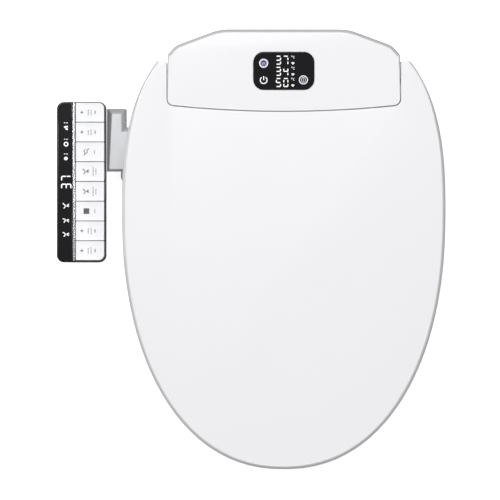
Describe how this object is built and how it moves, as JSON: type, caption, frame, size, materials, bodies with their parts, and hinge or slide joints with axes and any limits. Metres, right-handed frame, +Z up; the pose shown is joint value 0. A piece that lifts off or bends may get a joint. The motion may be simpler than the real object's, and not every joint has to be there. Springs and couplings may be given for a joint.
{
  "type": "electric bidet seat",
  "caption": "Electric bidet seat: a soft-close lid and ring seat hinged on a rear housing with a display, retracting wash nozzles, and a key panel on a side arm.",
  "frame": {"origin": "midway between the two fixing bolts, on the underside of the mounting plate, which sits on the toilet bowl", "axes": "+Z up, +Y towards the wall behind the toilet, +X towards the left hand of a seated user; the key panel is on the -X side"},
  "size_m": [0.4489, 0.5075, 0.169],
  "materials": {
    "white_gloss": "glossy white moulded ABS",
    "white_satin": "satin off-white moulded ABS",
    "black_gloss": "polished black acrylic",
    "silver_trim": "bright silver plated plastic",
    "dark_grey": "satin dark grey ABS",
    "black_plastic": "matt black nylon",
    "steel": "stainless steel",
    "rubber": "grey moulded rubber",
    "circuit_board": "green glass-fibre board",
    "brass": "machined brass",
    "heater_film": "polyimide film with a foil track"
  },
  "bodies": {
    "housing": {"air_pump": "black_plastic", "base_tray": "white_satin", "bolt_adjuster_left": "dark_grey", "bolt_adjuster_right": "dark_grey", "cone_washer_left": "rubber", "cone_washer_right": "rubber", "display_board": "circuit_board", "display_window": "black_gloss", "dryer_duct": "white_satin", "fan_housing": "black_plastic", "fan_motor": "steel", "fixing_bolt_left": "steel", "fixing_bolt_right": "steel", "fixing_nut_left": "white_satin", "fixing_nut_right": "white_satin", "hinge_pin_left": "steel", "hinge_pin_right": "steel", "main_board": "circuit_board", "mounting_plate": "white_satin", "nozzle_guide": "white_satin", "nozzle_hood": "white_satin", "nozzle_motor_1": "steel", "nozzle_motor_2": "steel", "panel_arm": "white_satin", "panel_board": "circuit_board", "panel_case": "dark_grey", "panel_trim": "silver_trim", "panel_window": "black_gloss", "power_gland": "black_plastic", "soft_close_damper_left": "black_plastic", "soft_close_damper_right": "black_plastic", "top_cover": "white_gloss", "valve_block": "brass", "water_heater_tank": "white_satin", "water_inlet": "brass"},
    "lid": {"lid": "white_gloss", "lid_bumper_left": "rubber", "lid_bumper_right": "rubber"},
    "seat": {"seat_top": "white_gloss", "seat_base": "white_satin", "seat_heater_film": "heater_film", "seat_bumper_front_left": "rubber", "seat_bumper_front_right": "rubber", "seat_bumper_rear_left": "rubber", "seat_bumper_rear_right": "rubber"},
    "rear_wash_nozzle": {"rear_wash_nozzle_tip": "white_gloss", "rear_wash_nozzle_wand": "steel"},
    "front_wash_nozzle": {"front_wash_nozzle_tip": "white_gloss", "front_wash_nozzle_wand": "steel"},
    "fan": {"dryer_fan": "white_satin"},
    "flap": {"dryer_flap": "white_satin"},
    "release": {"release_button": "white_satin"},
    "pressure_key": {"pressure_key": "white_gloss"},
    "position_key": {"position_key": "white_gloss"},
    "dry_key": {"dry_key": "white_gloss"},
    "front_wash_key": {"front_wash_key": "white_gloss"},
    "rear_wash_key": {"rear_wash_key": "white_gloss"},
    "stop_key": {"stop_key": "white_gloss"},
    "water_heat_key": {"water_heat_key": "white_gloss"},
    "seat_heat_key": {"seat_heat_key": "white_gloss"}
  },
  "joints": [
    {"name": "seat_hinge", "type": "hinge", "parent": "housing", "child": "seat", "pos_m": [0, -0.002, 0.084], "axis": [-1, 0, 0], "range_deg": [0, 100]},
    {"name": "lid_hinge", "type": "hinge", "parent": "seat", "child": "lid", "pos_m": [0, -0.002, 0.084], "axis": [1, 0, 0], "range_deg": [-105, 0]},
    {"name": "rear_wash_slide", "type": "slide", "parent": "housing", "child": "rear_wash_nozzle", "axis": [0, -0.9613, -0.2756], "range_m": [0, 0.062]},
    {"name": "front_wash_slide", "type": "slide", "parent": "housing", "child": "front_wash_nozzle", "axis": [0, -0.9613, -0.2756], "range_m": [0, 0.062]},
    {"name": "fan_spin", "type": "hinge", "parent": "housing", "child": "fan", "pos_m": [0.062, 0.014, 0.034], "axis": [0, 0, 1], "continuous": true},
    {"name": "flap_hinge", "type": "hinge", "parent": "housing", "child": "flap", "pos_m": [0.062, -0.0392, 0.0312], "axis": [-1, 0, 0], "range_deg": [0, 40]},
    {"name": "release_push", "type": "slide", "parent": "housing", "child": "release", "axis": [-1, 0, 0], "range_m": [0, 0.003], "stiffness_N_per_m": 1000, "springref_m": -0.001},
    {"name": "pressure_key_rock", "type": "hinge", "parent": "housing", "child": "pressure_key", "pos_m": [-0.2239, -0.04453, 0.0478], "axis": [0, 1, 0], "range_deg": [-2.5, 2.5], "stiffness_Nm_per_rad": 0.7},
    {"name": "position_key_rock", "type": "hinge", "parent": "housing", "child": "position_key", "pos_m": [-0.2239, -0.06738, 0.0478], "axis": [0, 1, 0], "range_deg": [-2.5, 2.5], "stiffness_Nm_per_rad": 0.7},
    {"name": "dry_key_push", "type": "slide", "parent": "housing", "child": "dry_key", "axis": [0, 0, -1], "range_m": [0, 0.001], "stiffness_N_per_m": 1500, "springref_m": -0.0005},
    {"name": "front_wash_key_push", "type": "slide", "parent": "housing", "child": "front_wash_key", "axis": [0, 0, -1], "range_m": [0, 0.001], "stiffness_N_per_m": 1500, "springref_m": -0.0005},
    {"name": "rear_wash_key_push", "type": "slide", "parent": "housing", "child": "rear_wash_key", "axis": [0, 0, -1], "range_m": [0, 0.001], "stiffness_N_per_m": 1500, "springref_m": -0.0005},
    {"name": "stop_key_push", "type": "slide", "parent": "housing", "child": "stop_key", "axis": [0, 0, -1], "range_m": [0, 0.001], "stiffness_N_per_m": 1500, "springref_m": -0.0005},
    {"name": "water_heat_key_rock", "type": "hinge", "parent": "housing", "child": "water_heat_key", "pos_m": [-0.2239, -0.18163, 0.0478], "axis": [0, 1, 0], "range_deg": [-2.5, 2.5], "stiffness_Nm_per_rad": 0.7},
    {"name": "seat_heat_key_rock", "type": "hinge", "parent": "housing", "child": "seat_heat_key", "pos_m": [-0.2239, -0.20447, 0.0478], "axis": [0, 1, 0], "range_deg": [-2.5, 2.5], "stiffness_Nm_per_rad": 0.7}
  ]
}
